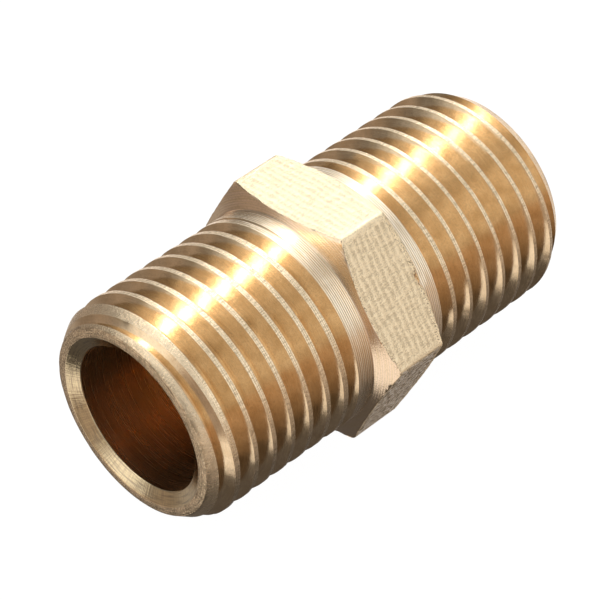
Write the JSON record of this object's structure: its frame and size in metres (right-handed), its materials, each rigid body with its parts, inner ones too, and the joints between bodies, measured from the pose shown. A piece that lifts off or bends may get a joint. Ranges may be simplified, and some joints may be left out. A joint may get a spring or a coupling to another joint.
{
  "type": "hex nipple",
  "caption": "Straight brass hex nipple: a hexagonal wrench section between equal male parallel pipe threads, with a chamfered through bore.",
  "frame": {"origin": "middle of the part, on the pipe axis, half way between the two end faces", "axes": "+X along the pipe axis towards the rear threaded end; +Z square to the upper wrench flat"},
  "size_m": [0.0274, 0.0162, 0.014],
  "materials": {
    "brass": "bright as-machined brass, with turning marks and a drawn finish on the wrench flats"
  },
  "bodies": {
    "root": {"nipple_body": "brass"}
  },
  "joints": []
}
